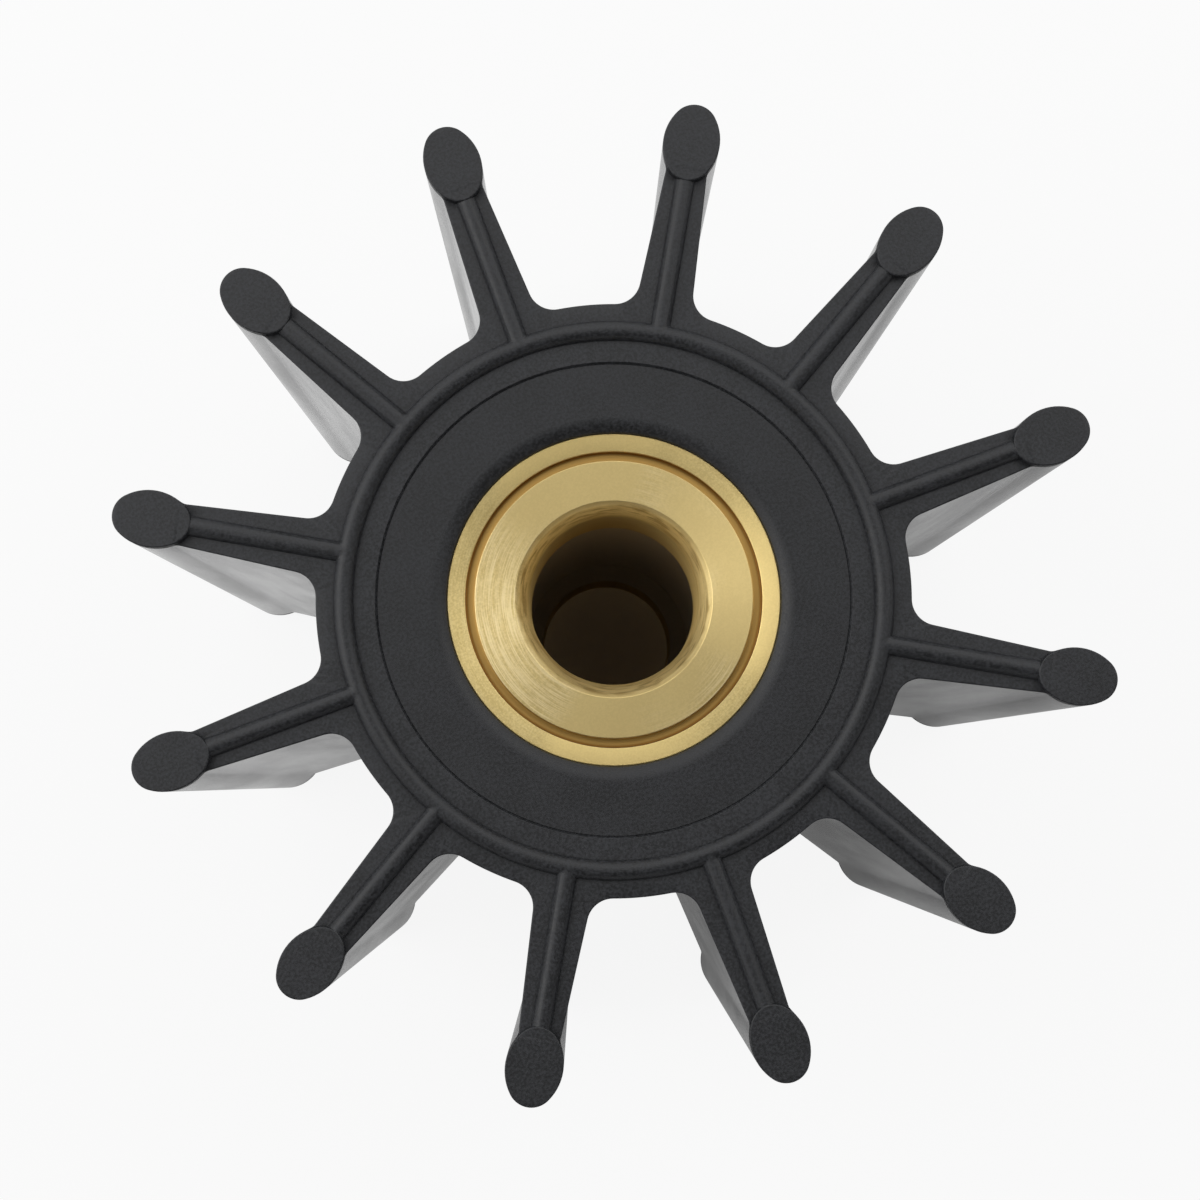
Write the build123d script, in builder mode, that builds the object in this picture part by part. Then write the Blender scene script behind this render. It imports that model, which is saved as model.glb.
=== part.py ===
from build123d import *
import os
from math import cos, pi, sin

# A flexible-blade pump impeller: a rubber body with straight blades is moulded round a
# turned brass bush.  Both ends are alike, so it can be fitted either way round.
# Frame: origin at mid length on the shaft axis, +Z along the shaft, one blade on +X.
# All sizes are in millimetres.

# ---- Rubber body: overall sizes -----------------------------------------------------
tip_dia = 95.2              # over the bulbs of opposite blades
length = 88.9               # between the flat end faces of the bulbs
blade_count = 12
hub_dia = 55.9              # rubber hub, measured between two blades

# ---- Blades -------------------------------------------------------------------------
root_thickness = 5.35       # blade thickness where it leaves the hub
neck_thickness = 4.05       # blade thickness where it meets the bulb
root_fillet = 2.45
bulb_depth = 7.4            # radial size of the sealing bulb along the blade's tip
bulb_width = 5.4            # size of the bulb across the blade
bulb_nose = 2.2             # radius of the bulb's inner and outer ends
neck_fillet = 1.3

# ---- End faces of the rubber --------------------------------------------------------
end_relief = 0.9            # blade and hub ends lie this far below the bulb end faces
ring_bead_setback = 2.6     # from the hub's outer edge in to the crest of the ring bead
bead_width = 1.9            # foot width of the ring bead and of the blade ribs
bead_flats = 5              # flats that make up the rounded top of a bead
bead_sink = 0.4             # depth to which beads are carried on inside the body
rib_drop = 0.06             # rib crests lie this far below the crest of the ring bead
plate_margin = 3.05         # from the crest of the ring bead in to the recessed face
plate_step = 0.2            # depth of the recessed face
lip_width = 0.85            # sloping rubber lip round the end of the bush
bush_recess = 0.75          # end of the bush below the recessed face

# ---- Brass bush ---------------------------------------------------------------------
bush_dia = 31.4             # bonded to the rubber along its whole length
groove_rim = 1.7            # land outside the turned groove in each end
groove_width = 0.88
groove_depth = 0.7
bore_dia = 16.0             # shaft seat
throat_length = 10.0        # length of the shaft seat at each end
mouth_width = 1.3           # radial width of the whole lead-in to the bore
mouth_step = 0.4            # radial width of the steeper cone at its outer edge
mouth_step_depth = 0.45
mouth_depth = 1.8           # depth of the whole lead-in
chamber_relief = 2.0        # radial clearance between the two shaft seats
chamber_slope = 1.5         # length of the cone at each end of that clearance

# ---- Derived places -----------------------------------------------------------------
hub_r = hub_dia / 2
bush_r = bush_dia / 2
bore_r = bore_dia / 2
neck_r = tip_dia / 2 - bulb_depth               # inner end of each bulb
bulb_r = tip_dia / 2 - bulb_depth / 2           # centre of each bulb
end_z = length / 2                              # end faces of the bulbs
web_z = end_z - end_relief                      # end faces of the blades and the hub
plate_z = web_z - plate_step                    # recessed face round the bush
bush_z = plate_z - bush_recess                  # end faces of the bush
bead_crest_r = hub_r - ring_bead_setback
plate_r = bead_crest_r - plate_margin
lip_r = bush_r + lip_width
blade_taper = (root_thickness - neck_thickness) / 2 / (neck_r - hub_r)


def blade_half(radius):
    """Half the thickness of a blade at the given distance from the shaft axis."""
    return neck_thickness / 2 + blade_taper * (neck_r - radius)


def bulb_outline():
    """Closed oval of four tangent arcs, centred on the local origin and long in X."""
    nose_x = bulb_depth / 2 - bulb_nose
    half = bulb_width / 2
    flank = (nose_x**2 + half**2 - bulb_nose**2) / (2 * (half - bulb_nose))
    towards_nose = Vector(nose_x, flank - half).normalized()
    meet = Vector(0, half - flank) + flank * towards_nose
    ThreePointArc((-meet.X, meet.Y), (0, half), (meet.X, meet.Y))
    ThreePointArc((meet.X, meet.Y), (bulb_depth / 2, 0), (meet.X, -meet.Y))
    ThreePointArc((meet.X, -meet.Y), (0, -half), (-meet.X, -meet.Y))
    ThreePointArc((-meet.X, -meet.Y), (-bulb_depth / 2, 0), (-meet.X, meet.Y))


def bead_outline(height):
    """Closed outline of a rounded bead, drawn in flats, that stands on the local X axis."""
    turns = [pi * step / bead_flats for step in range(bead_flats + 1)]
    top = max(sin(turn) for turn in turns)
    arch = [(bead_width / 2 * cos(turn), height * sin(turn) / top) for turn in turns]
    foot = [(-bead_width / 2, -bead_sink), (bead_width / 2, -bead_sink)]
    Polyline(*arch, *foot, close=True)


# ---- Bulb section: used for the blade tips and for their raised ends ------------------
with BuildSketch() as bulb_section:
    with BuildLine():
        bulb_outline()
    make_face()

# ---- Blade rib: rounded bead along the end of one blade, from ring bead to bulb -------
rib_plane = Plane(origin=(bead_crest_r, 0, web_z), x_dir=(0, 1, 0), z_dir=(1, 0, 0))

with BuildPart() as blade_rib:
    with BuildSketch(rib_plane):
        with BuildLine():
            bead_outline(end_relief - rib_drop)
        make_face()
    extrude(amount=bulb_r - bead_crest_r)

# ---- Rubber body: one half is built on the middle plane and then mirrored -------------
ring_plane = Plane(origin=(bead_crest_r, 0, web_z), x_dir=(1, 0, 0), z_dir=(0, -1, 0))

with BuildPart() as rubber_body:
    # hub with tapered blades, each ending in a bulb
    with BuildSketch():
        Circle(hub_r)
        with PolarLocations(0, blade_count):
            foot_r = hub_r - root_thickness
            Polygon(
                (foot_r, -blade_half(foot_r)),
                (bulb_r, -blade_half(bulb_r)),
                (bulb_r, blade_half(bulb_r)),
                (foot_r, blade_half(foot_r)),
                align=None,
            )
        with PolarLocations(bulb_r, blade_count):
            add(bulb_section.sketch)
    extrude(amount=web_z)

    # upright edges lie in groups from the shaft outwards: blade roots, then bulb necks
    necks = rubber_body.edges().filter_by(Axis.Z).group_by(SortBy.DISTANCE)[1]
    fillet(necks, neck_fillet)
    roots = rubber_body.edges().filter_by(Axis.Z).group_by(SortBy.DISTANCE)[0]
    fillet(roots, root_fillet)

    # bulbs stand out past the blade ends, up to the full length
    with BuildSketch(Plane.XY.offset(web_z)):
        with PolarLocations(bulb_r, blade_count):
            add(bulb_section.sketch)
    extrude(amount=end_relief)

    # ring bead round the hub, and one rib on each blade
    with BuildSketch(ring_plane):
        with BuildLine():
            bead_outline(end_relief)
        make_face()
    revolve(axis=Axis.Z)
    with PolarLocations(0, blade_count):
        add(blade_rib.part)

    # seat of the bush, sloping lip and recessed face
    with BuildSketch(Plane.XZ):
        with BuildLine():
            Polyline(
                (0, 0),
                (bush_r, 0),
                (bush_r, bush_z),
                (lip_r, plate_z),
                (plate_r, plate_z),
                (plate_r, end_z),
                (0, end_z),
                close=True,
            )
        make_face()
    revolve(axis=Axis.Z, mode=Mode.SUBTRACT)
    mirror(about=Plane.XY)

# ---- Brass bush: turned, with a relieved chamber between two shaft seats --------------
groove_outer_r = bush_r - groove_rim
groove_inner_r = groove_outer_r - groove_width
mouth_r = bore_r + mouth_width
throat_z = bush_z - mouth_depth                 # outer end of the shaft seat
chamber_z = throat_z - throat_length            # inner end of the shaft seat
chamber_r = bore_r + chamber_relief

with BuildPart() as brass_bush:
    with BuildSketch(Plane.XZ):
        with BuildLine():
            Polyline(
                (chamber_r, 0),
                (bush_r, 0),
                (bush_r, bush_z),
                (groove_outer_r, bush_z),
                (groove_outer_r, bush_z - groove_depth),
                (groove_inner_r, bush_z - groove_depth),
                (groove_inner_r, bush_z),
                (mouth_r, bush_z),
                (mouth_r - mouth_step, bush_z - mouth_step_depth),
                (bore_r, throat_z),
                (bore_r, chamber_z),
                (chamber_r, chamber_z - chamber_slope),
                close=True,
            )
        make_face()
    revolve(axis=Axis.Z)
    mirror(about=Plane.XY)

# ---- Files --------------------------------------------------------------------------
os.makedirs("parts", exist_ok=True)
rubber_body.part.label = "rubber_body"
export_step(rubber_body.part, "parts/rubber_body.step")
brass_bush.part.label = "brass_bush"
export_step(brass_bush.part, "parts/brass_bush.step")
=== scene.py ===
"""Looks of a flexible-blade pump impeller: a moulded rubber body on a turned brass bush."""
import logging
import math
from dataclasses import dataclass
from enum import Enum
from functools import cached_property
from typing import Union

import bmesh
import bpy
from mathutils import Matrix, Vector
from mathutils.geometry import delaunay_2d_cdt


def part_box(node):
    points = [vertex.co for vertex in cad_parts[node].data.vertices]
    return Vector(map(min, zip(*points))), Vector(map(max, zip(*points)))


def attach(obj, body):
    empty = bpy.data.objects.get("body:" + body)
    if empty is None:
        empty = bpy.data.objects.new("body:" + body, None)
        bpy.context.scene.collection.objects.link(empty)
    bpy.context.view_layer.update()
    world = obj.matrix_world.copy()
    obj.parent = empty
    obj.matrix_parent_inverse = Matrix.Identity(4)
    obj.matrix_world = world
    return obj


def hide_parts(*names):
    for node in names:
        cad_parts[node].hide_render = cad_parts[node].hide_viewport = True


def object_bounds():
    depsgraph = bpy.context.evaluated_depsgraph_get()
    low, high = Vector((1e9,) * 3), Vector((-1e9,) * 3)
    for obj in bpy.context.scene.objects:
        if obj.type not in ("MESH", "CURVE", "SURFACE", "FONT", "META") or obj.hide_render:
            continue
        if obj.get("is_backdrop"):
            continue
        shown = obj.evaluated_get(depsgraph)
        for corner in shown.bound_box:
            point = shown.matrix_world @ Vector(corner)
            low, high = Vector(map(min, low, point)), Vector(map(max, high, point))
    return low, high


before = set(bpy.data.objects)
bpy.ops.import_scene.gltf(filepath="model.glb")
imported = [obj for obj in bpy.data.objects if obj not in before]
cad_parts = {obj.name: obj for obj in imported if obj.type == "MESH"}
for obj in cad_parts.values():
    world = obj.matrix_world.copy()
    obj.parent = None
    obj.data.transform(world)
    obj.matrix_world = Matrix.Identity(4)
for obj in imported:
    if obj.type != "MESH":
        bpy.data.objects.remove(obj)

LOG = logging.getLogger("impeller")
BODY = "root"
MM = 0.001

Point = tuple[float, float]
Corner = tuple[float, float, float]
Range = tuple[float, float]
Colour = tuple[float, float, float, float]
Socket = bpy.types.NodeSocket
Value = Union[Socket, float]
Tone = Union[Socket, Colour]

WHITE: Colour = (1.0, 1.0, 1.0, 1.0)
NOISE_MIDDLE = 0.5


class Slot(Enum):
    """Material slots of the CAD nodes."""

    RUBBER = "rubber"
    BRASS = "brass"


class TreeKind(Enum):
    """Kinds of node tree."""

    SHADER = "ShaderNodeTree"
    GEOMETRY = "GeometryNodeTree"


class Sum(Enum):
    """Sums that a maths node does."""

    ADD = "ADD"
    SUBTRACT = "SUBTRACT"
    MULTIPLY = "MULTIPLY"
    DIVIDE = "DIVIDE"
    MULTIPLY_ADD = "MULTIPLY_ADD"
    MAXIMUM = "MAXIMUM"
    ABSOLUTE = "ABSOLUTE"
    SQRT = "SQRT"
    SINE = "SINE"
    COSINE = "COSINE"
    ARCTAN2 = "ARCTAN2"


class Ease(Enum):
    """Ways in which a value moves from one end of a range to the other."""

    SMOOTH = "SMOOTHSTEP"
    STRAIGHT = "LINEAR"


# ---- Lines and meshes ----------------------------------------------------------------


def scaled(span: Range, size: float) -> Range:
    """Both ends of a range, times a size."""
    return span[0] * size, span[1] * size


def mirrored(line: list[Point]) -> list[Point]:
    """A line turned over the first axis, from its end to its start."""
    return [(x, -y) for x, y in reversed(line)]


def arc(centre: Point, radius: float, start: float, end: float, steps: int) -> list[Point]:
    """Points along an arc.

    Args:
        centre: centre of the arc.
        radius: its radius.
        start: angle of its first point, in radians.
        end: angle of its last point, in radians.
        steps: number of chords.

    Returns:
        The points, both ends included.
    """
    turns = [start + (end - start) * step / steps for step in range(steps + 1)]
    return [(centre[0] + radius * math.cos(t), centre[1] + radius * math.sin(t)) for t in turns]


def rounded(corners: list[Corner], steps: int = 4, least_turn: float = 0.01) -> list[Point]:
    """Polyline with its corners rounded.

    Args:
        corners: x, y and rounding radius of each corner; the ends stay sharp.
        steps: chords in each rounded corner.
        least_turn: half turn in radians under which a corner stays as it is.

    Returns:
        The points of the rounded line.
    """
    line = [corners[0][:2]]
    for before, here, after in zip(corners, corners[1:], corners[2:]):
        radius = here[2]
        corner = Vector(here[:2])
        inward = (Vector(before[:2]) - corner).normalized()
        outward = (Vector(after[:2]) - corner).normalized()
        half = inward.angle(outward) / 2
        if radius <= 0 or math.pi / 2 - half < least_turn:
            line.append(tuple(corner))
            continue
        reach = radius / math.tan(half)
        first = corner + inward * reach
        last = corner + outward * reach
        centre = corner + (inward + outward).normalized() * (radius / math.sin(half))
        for step in range(steps + 1):
            along = first.lerp(last, step / steps) - centre
            line.append(tuple(centre + along.normalized() * radius))
    line.append(corners[-1][:2])
    return line


def stand(name: str, data: bpy.types.ID) -> bpy.types.Object:
    """Puts a new object in the scene, at the origin.

    Args:
        name: its name.
        data: its mesh, lamp or camera.

    Returns:
        The object.
    """
    made = bpy.data.objects.new(name, data)
    bpy.context.scene.collection.objects.link(made)
    return made


def bake(piece: bpy.types.Object) -> None:
    """Replaces a piece's mesh by what its modifiers make of it, and drops them.

    Args:
        piece: the piece.
    """
    graph = bpy.context.evaluated_depsgraph_get()
    mesh = bpy.data.meshes.new_from_object(
        piece.evaluated_get(graph), preserve_all_data_layers=True, depsgraph=graph)
    mesh.name = piece.name
    piece.modifiers.clear()
    piece.data = mesh


def finish_normals(piece: bpy.types.Object, angle: float) -> None:
    """Shades a piece smooth, with its flat faces kept flat.

    Args:
        piece: the piece.
        angle: turn in radians over which an edge stays sharp.
    """
    mesh = piece.data
    mesh.shade_smooth()
    mesh.set_sharp_from_angle(angle=angle)
    weights = piece.modifiers.new("flat_faces", "WEIGHTED_NORMAL")
    weights.keep_sharp = True
    bake(piece)


# ---- Node trees ----------------------------------------------------------------------


@dataclass(frozen=True)
class Graph:
    """A node tree with short ways to add nodes to it.

    A mix node has its values in sockets 2 and 3 and its colours in sockets 6 and 7, with the
    colour that it makes in output 2.
    """

    tree: bpy.types.NodeTree

    def add(self, kind: str, inputs: dict | None = None, **settings: object) -> bpy.types.Node:
        """Adds a node.

        Args:
            kind: Blender's name for the node type.
            inputs: input name or number, and the value or socket that it gets.
            settings: properties of the node itself.

        Returns:
            The new node.
        """
        node = self.tree.nodes.new(kind)
        for name, value in settings.items():
            setattr(node, name, value)
        for name, value in (inputs or {}).items():
            self.feed(node.inputs[name], value)
        return node

    def feed(self, socket: Socket, value: object) -> None:
        """Links an input to an output, or sets its value.

        Args:
            socket: the input.
            value: the output or the value.
        """
        if isinstance(value, Socket):
            self.tree.links.new(value, socket)
        else:
            socket.default_value = value

    def math(self, operation: Sum, *values: Value) -> Socket:
        """Result of a sum on one, two or three values."""
        inputs = dict(enumerate(values))
        return self.add("ShaderNodeMath", inputs, operation=operation.value).outputs[0]

    def times(self, first: Value, second: Value) -> Socket:
        """One value times another."""
        return self.math(Sum.MULTIPLY, first, second)

    def less(self, first: Value, second: Value) -> Socket:
        """One value less another."""
        return self.math(Sum.SUBTRACT, first, second)

    def outside(self, mask: Value) -> Socket:
        """The mask of all that a mask leaves out."""
        return self.less(1.0, mask)

    def mix(self, factor: Value, low: Value, high: Value) -> Socket:
        """Value between low and high."""
        return self.add("ShaderNodeMix", {0: factor, 2: low, 3: high}).outputs[0]

    def blend(self, factor: Value, low: Tone, high: Tone) -> Socket:
        """Colour between low and high."""
        inputs = {0: factor, 6: low, 7: high}
        return self.add("ShaderNodeMix", inputs, data_type="RGBA").outputs[2]

    def tinted(self, tone: Tone, tint: Tone) -> Socket:
        """Colour times a tint."""
        settings = {"data_type": "RGBA", "blend_type": "MULTIPLY"}
        return self.add("ShaderNodeMix", {0: 1.0, 6: tone, 7: tint}, **settings).outputs[2]

    def between(self, value: Value, span: tuple[Value, Value], ends: Range = (0.0, 1.0),
                ease: Ease = Ease.SMOOTH) -> Socket:
        """Value taken from one range to another, and held at both ends.

        Args:
            value: the value.
            span: the range that it comes from.
            ends: the range that it is taken to.
            ease: how it moves between the ends.

        Returns:
            The new value.
        """
        inputs = dict(enumerate((value, *span, *ends)))
        return self.add("ShaderNodeMapRange", inputs, interpolation_type=ease.value).outputs[0]

    def noise(self, place: Socket, scale: Value, detail: float, roughness: float) -> Socket:
        """Smooth noise.

        Args:
            place: where it is read.
            scale: waves a metre.
            detail: number of finer layers.
            roughness: strength of each finer layer.

        Returns:
            Its value, from 0 to 1 with 0.5 in the middle.
        """
        inputs = {"Vector": place, "Scale": scale, "Detail": detail, "Roughness": roughness}
        return self.add("ShaderNodeTexNoise", inputs).outputs[0]

    def split(self, place: Socket) -> tuple[Socket, ...]:
        """X, Y and Z of a place."""
        return tuple(self.add("ShaderNodeSeparateXYZ", {0: place}).outputs)

    def join(self, x: Value, y: Value, z: Value) -> Socket:
        """Place with the given X, Y and Z."""
        return self.add("ShaderNodeCombineXYZ", {0: x, 1: y, 2: z}).outputs[0]

    def flat_radius(self, x: Socket, y: Socket) -> Socket:
        """Distance from the shaft axis."""
        return self.math(Sum.SQRT, self.math(Sum.ADD, self.times(x, x), self.times(y, y)))

    def group(self, tree: bpy.types.NodeTree, values: dict[str, object]) -> bpy.types.NodeOutputs:
        """Places a shared group with its own values, and gives its outputs."""
        return self.add("ShaderNodeGroup", values, node_tree=tree).outputs


def node_group(name: str, kind: TreeKind, inputs: dict[str, tuple[str, object]],
               outputs: dict[str, str]) -> tuple[Graph, bpy.types.Node, bpy.types.Node]:
    """Starts a node group with named inputs and outputs.

    Args:
        name: name of the group.
        kind: what it works on.
        inputs: socket type and first value of each input.
        outputs: socket type of each output.

    Returns:
        Its graph, its input node and its output node.
    """
    tree = bpy.data.node_groups.new(name, kind.value)
    for label, (socket_type, value) in inputs.items():
        socket = tree.interface.new_socket(label, in_out="INPUT", socket_type=socket_type)
        if value is not None:
            socket.default_value = value
    for label, socket_type in outputs.items():
        tree.interface.new_socket(label, in_out="OUTPUT", socket_type=socket_type)
    graph = Graph(tree)
    return graph, graph.add("NodeGroupInput"), graph.add("NodeGroupOutput")


# ---- Rubber body ---------------------------------------------------------------------


@dataclass(frozen=True)
class BladePlan:
    """Plan outline of one blade with its share of the hub, in millimetres, blade along +X."""

    NO_OUTLINE = 10.0

    tip_r: float
    blades: int = 12
    hub_r: float = 27.95
    root_thickness: float = 5.35
    neck_thickness: float = 4.05
    root_fillet: float = 2.45
    bulb_depth: float = 7.4
    bulb_width: float = 5.4
    bulb_nose: float = 2.2
    neck_fillet: float = 1.3
    hub_steps: int = 8
    root_steps: int = 12
    neck_steps: int = 10
    flank_steps: int = 12
    nose_steps: int = 12
    inner_flank_steps: int = 8
    inner_nose_steps: int = 28

    @property
    def half_turn(self) -> float:
        """Half the angle that one blade takes up."""
        return math.pi / self.blades

    @property
    def neck_r(self) -> float:
        """Distance of the bulb's inner end from the shaft axis."""
        return self.tip_r - self.bulb_depth

    @property
    def bulb_r(self) -> float:
        """Distance of the bulb's centre from the shaft axis."""
        return self.tip_r - self.bulb_depth / 2

    @property
    def nose_x(self) -> float:
        """Distance of the nose arcs' centres from the bulb's centre."""
        return self.bulb_depth / 2 - self.bulb_nose

    @property
    def flank(self) -> float:
        """Radius of the long arcs that form the bulb's flanks."""
        half = self.bulb_width / 2
        return (self.nose_x**2 + half**2 - self.bulb_nose**2) / (2 * (half - self.bulb_nose))

    @property
    def flank_y(self) -> float:
        """Height of the upper flank's centre above the blade's middle line, below zero."""
        return self.bulb_width / 2 - self.flank

    @property
    def flank_turn(self) -> float:
        """Angle, seen from the flank's centre, at which flank and nose arcs meet."""
        return math.atan2(-self.flank_y, self.nose_x)

    @property
    def taper(self) -> float:
        """Loss of half thickness for each millimetre along the blade."""
        return (self.root_thickness - self.neck_thickness) / 2 / (self.neck_r - self.hub_r)

    @property
    def slant(self) -> float:
        """Length of the blade's side for each millimetre along the blade."""
        return math.hypot(1, self.taper)

    def side(self, x: float, outset: float = 0.0) -> float:
        """Half the blade's thickness at x, moved outwards by outset."""
        return self.neck_thickness / 2 + self.taper * (self.neck_r - x) + outset * self.slant

    def touching(self, origin: Point, reach: float, outset: float, far: bool) -> Point:
        """Point at a distance from origin that lies outset outside the blade's side.

        Args:
            origin: centre that the distance is measured from.
            reach: the distance.
            outset: distance from the blade's side.
            far: whether the far one of the two answers is meant.

        Returns:
            The point.
        """
        rise = self.side(origin[0], outset) - origin[1]
        square = 1 + self.taper**2
        root = math.sqrt((rise * self.taper) ** 2 - square * (rise**2 - reach**2))
        step = (rise * self.taper + (root if far else -root)) / square
        x = origin[0] + step
        return x, self.side(x, outset)

    @property
    def root_centre(self) -> Point:
        """Centre of the upper root fillet."""
        return self.touching((0.0, 0.0), self.hub_r + self.root_fillet, self.root_fillet, True)

    @property
    def neck_centre(self) -> Point:
        """Centre of the upper neck fillet."""
        origin = (self.bulb_r, self.flank_y)
        return self.touching(origin, self.flank + self.neck_fillet, self.neck_fillet, False)

    def outline(self, inset: float = 0.0) -> list[Point]:
        """Outline from the middle of one gap, round the blade, to the middle of the next.

        Args:
            inset: distance by which the outline is moved inwards.

        Returns:
            The points of the open line.
        """
        root, neck = self.root_centre, self.neck_centre
        root_turn = math.atan2(root[1], root[0])
        down = math.atan2(-1.0, -self.taper)
        to_bulb = math.atan2(self.flank_y - neck[1], self.bulb_r - neck[0])
        upper = arc((0.0, 0.0), self.hub_r - inset, self.half_turn, root_turn, self.hub_steps)
        upper += arc(root, self.root_fillet + inset, root_turn - math.pi, down, self.root_steps)
        upper += arc(neck, self.neck_fillet + inset, down, to_bulb, self.neck_steps)
        upper += arc((self.bulb_r, self.flank_y), self.flank - inset,
                     to_bulb + math.pi, self.flank_turn, self.flank_steps)[1:]
        upper += arc((self.bulb_r + self.nose_x, 0.0), self.bulb_nose - inset,
                     self.flank_turn, 0.0, self.nose_steps)[1:]
        return upper + mirrored(upper[:-1])

    def inner_oval(self, inset: float) -> list[Point]:
        """The stretch of the bulb's outline that stands on the blade's end.

        Args:
            inset: distance by which the line is moved inwards.

        Returns:
            The points of the open line.
        """
        neck = self.neck_centre
        start = math.atan2(neck[1] - self.flank_y, neck[0] - self.bulb_r)
        turn = math.pi - self.flank_turn
        upper = arc((self.bulb_r, self.flank_y), self.flank - inset, start, turn,
                    self.inner_flank_steps)
        nose = arc((self.bulb_r - self.nose_x, 0.0), self.bulb_nose - inset,
                   turn, 2 * math.pi - turn, self.inner_nose_steps)
        return upper + nose[1:-1] + mirrored(upper)

    def outside_bulb(self, x: float, y: float) -> float:
        """Distance of a point from the bulb's outline.

        Args:
            x: distance along the blade.
            y: distance from the blade's middle line.

        Returns:
            The distance, below zero inside the bulb.
        """
        u, v = abs(x - self.bulb_r), abs(y)
        if math.atan2(v - self.flank_y, u) >= self.flank_turn:
            return math.hypot(u, v - self.flank_y) - self.flank
        return math.hypot(u - self.nose_x, v) - self.bulb_nose

    def inside_web(self, x: float, y: float) -> float:
        """Distance of a point on hub or blade from the outline.

        Args:
            x: distance along the blade.
            y: distance from the blade's middle line.

        Returns:
            The distance, above zero inside, or a large one where only the bulb has an outline.
        """
        y = abs(y)
        root, neck = self.root_centre, self.neck_centre
        if math.atan2(y, x) >= math.atan2(root[1], root[0]):
            return self.hub_r - math.hypot(x, y)
        lean = self.taper / self.slant
        if x < root[0] - lean * self.root_fillet:
            return math.hypot(x - root[0], y - root[1]) - self.root_fillet
        if x < neck[0] - lean * self.neck_fillet:
            return (self.side(x) - y) / self.slant
        toward = (self.bulb_r - neck[0], self.flank_y - neck[1])
        if (x - neck[0]) * toward[1] - (y - neck[1]) * toward[0] > 0:
            return math.hypot(x - neck[0], y - neck[1]) - self.neck_fillet
        return self.NO_OUTLINE


@dataclass(frozen=True)
class EndFace:
    """Relief of the rubber's end face: heights in millimetres above mid length."""

    TOUCHING = 1e-6

    end_z: float
    bush_r: float
    hub_r: float
    end_relief: float = 0.9
    ring_setback: float = 2.6
    bead_width: float = 1.9
    rib_drop: float = 0.06
    plate_margin: float = 3.05
    plate_step: float = 0.2
    lip_width: float = 0.85
    lip_round: float = 2.2
    lip_steps: int = 6
    bush_recess: float = 0.75
    foot_width: float = 0.1
    foot_height: float = 0.25
    crease_lead: float = 0.14
    crease_setback: float = 0.05
    crease_depth: float = 0.1
    crease_rounds: Range = (0.03, 0.02)
    step_overrun: float = 0.09
    step_round: float = 0.05
    edge: float = 0.13
    edge_turns: tuple[float, ...] = (0.0, 30.0, 60.0, 90.0)
    draft: float = 0.04

    @property
    def web_z(self) -> float:
        """Height of the blade and hub ends."""
        return self.end_z - self.end_relief

    @property
    def plate_z(self) -> float:
        """Height of the recessed face round the bush."""
        return self.web_z - self.plate_step

    @property
    def bush_z(self) -> float:
        """Height of the bush's end face."""
        return self.plate_z - self.bush_recess

    @property
    def crest_r(self) -> float:
        """Radius of the ring bead's crest."""
        return self.hub_r - self.ring_setback

    @property
    def bead_r(self) -> float:
        """Radius of the ring bead's inner foot."""
        return self.crest_r - self.bead_width / 2

    @property
    def plate_r(self) -> float:
        """Outer radius of the recessed face."""
        return self.crest_r - self.plate_margin

    @cached_property
    def lip(self) -> list[Point]:
        """Section from the bush, up the sloping lip, to the ring bead's foot.

        Returns:
            Radius and height of its points.
        """
        return rounded([
            (self.bush_r, self.bush_z, 0.0),
            (self.bush_r + self.foot_width, self.bush_z + self.foot_height, self.foot_width),
            (self.bush_r + self.lip_width, self.plate_z, self.lip_round),
            (self.plate_r - self.crease_lead, self.plate_z, self.crease_rounds[0]),
            (self.plate_r - self.crease_setback, self.plate_z - self.crease_depth,
             self.crease_rounds[1]),
            (self.plate_r + self.step_overrun, self.web_z, self.step_round),
            (self.bead_r, self.web_z, 0.0),
        ], steps=self.lip_steps)

    def lip_height(self, radius: float) -> float:
        """Height inside the ring bead.

        Args:
            radius: distance from the shaft axis.

        Returns:
            The height.
        """
        for (r0, z0), (r1, z1) in zip(self.lip, self.lip[1:]):
            if radius <= r1 + self.TOUCHING:
                return z0 + (z1 - z0) * min(max((radius - r0) / (r1 - r0), 0.0), 1.0)
        return self.web_z

    def bead(self, offset: float, height: float) -> float:
        """Height of a bead's round top.

        Args:
            offset: distance from the bead's middle line.
            height: height of its crest.

        Returns:
            The height, below zero off the bead.
        """
        half = self.bead_width / 2
        if abs(offset) >= half:
            return -1.0
        radius = (half**2 + height**2) / (2 * height)
        return math.sqrt(radius**2 - offset**2) - (radius - height)

    def rounding(self, depth: float) -> float:
        """Drop of a rounded edge at a distance inside the outline."""
        share = min(max(1 - depth / self.edge, 0.0), 1.0)
        return self.edge * (1 - math.sqrt(1 - share**2))

    def edge_insets(self) -> list[float]:
        """Distances from the outline at which the rounded edge has its loops."""
        return [self.edge * (1 - math.cos(math.radians(turn))) for turn in self.edge_turns]

    def bead_offsets(self, steps: int) -> list[float]:
        """Distances from a bead's middle line at which it has its loops."""
        return [-self.bead_width / 2 * math.cos(math.pi * k / steps) for k in range(steps + 1)]


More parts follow.
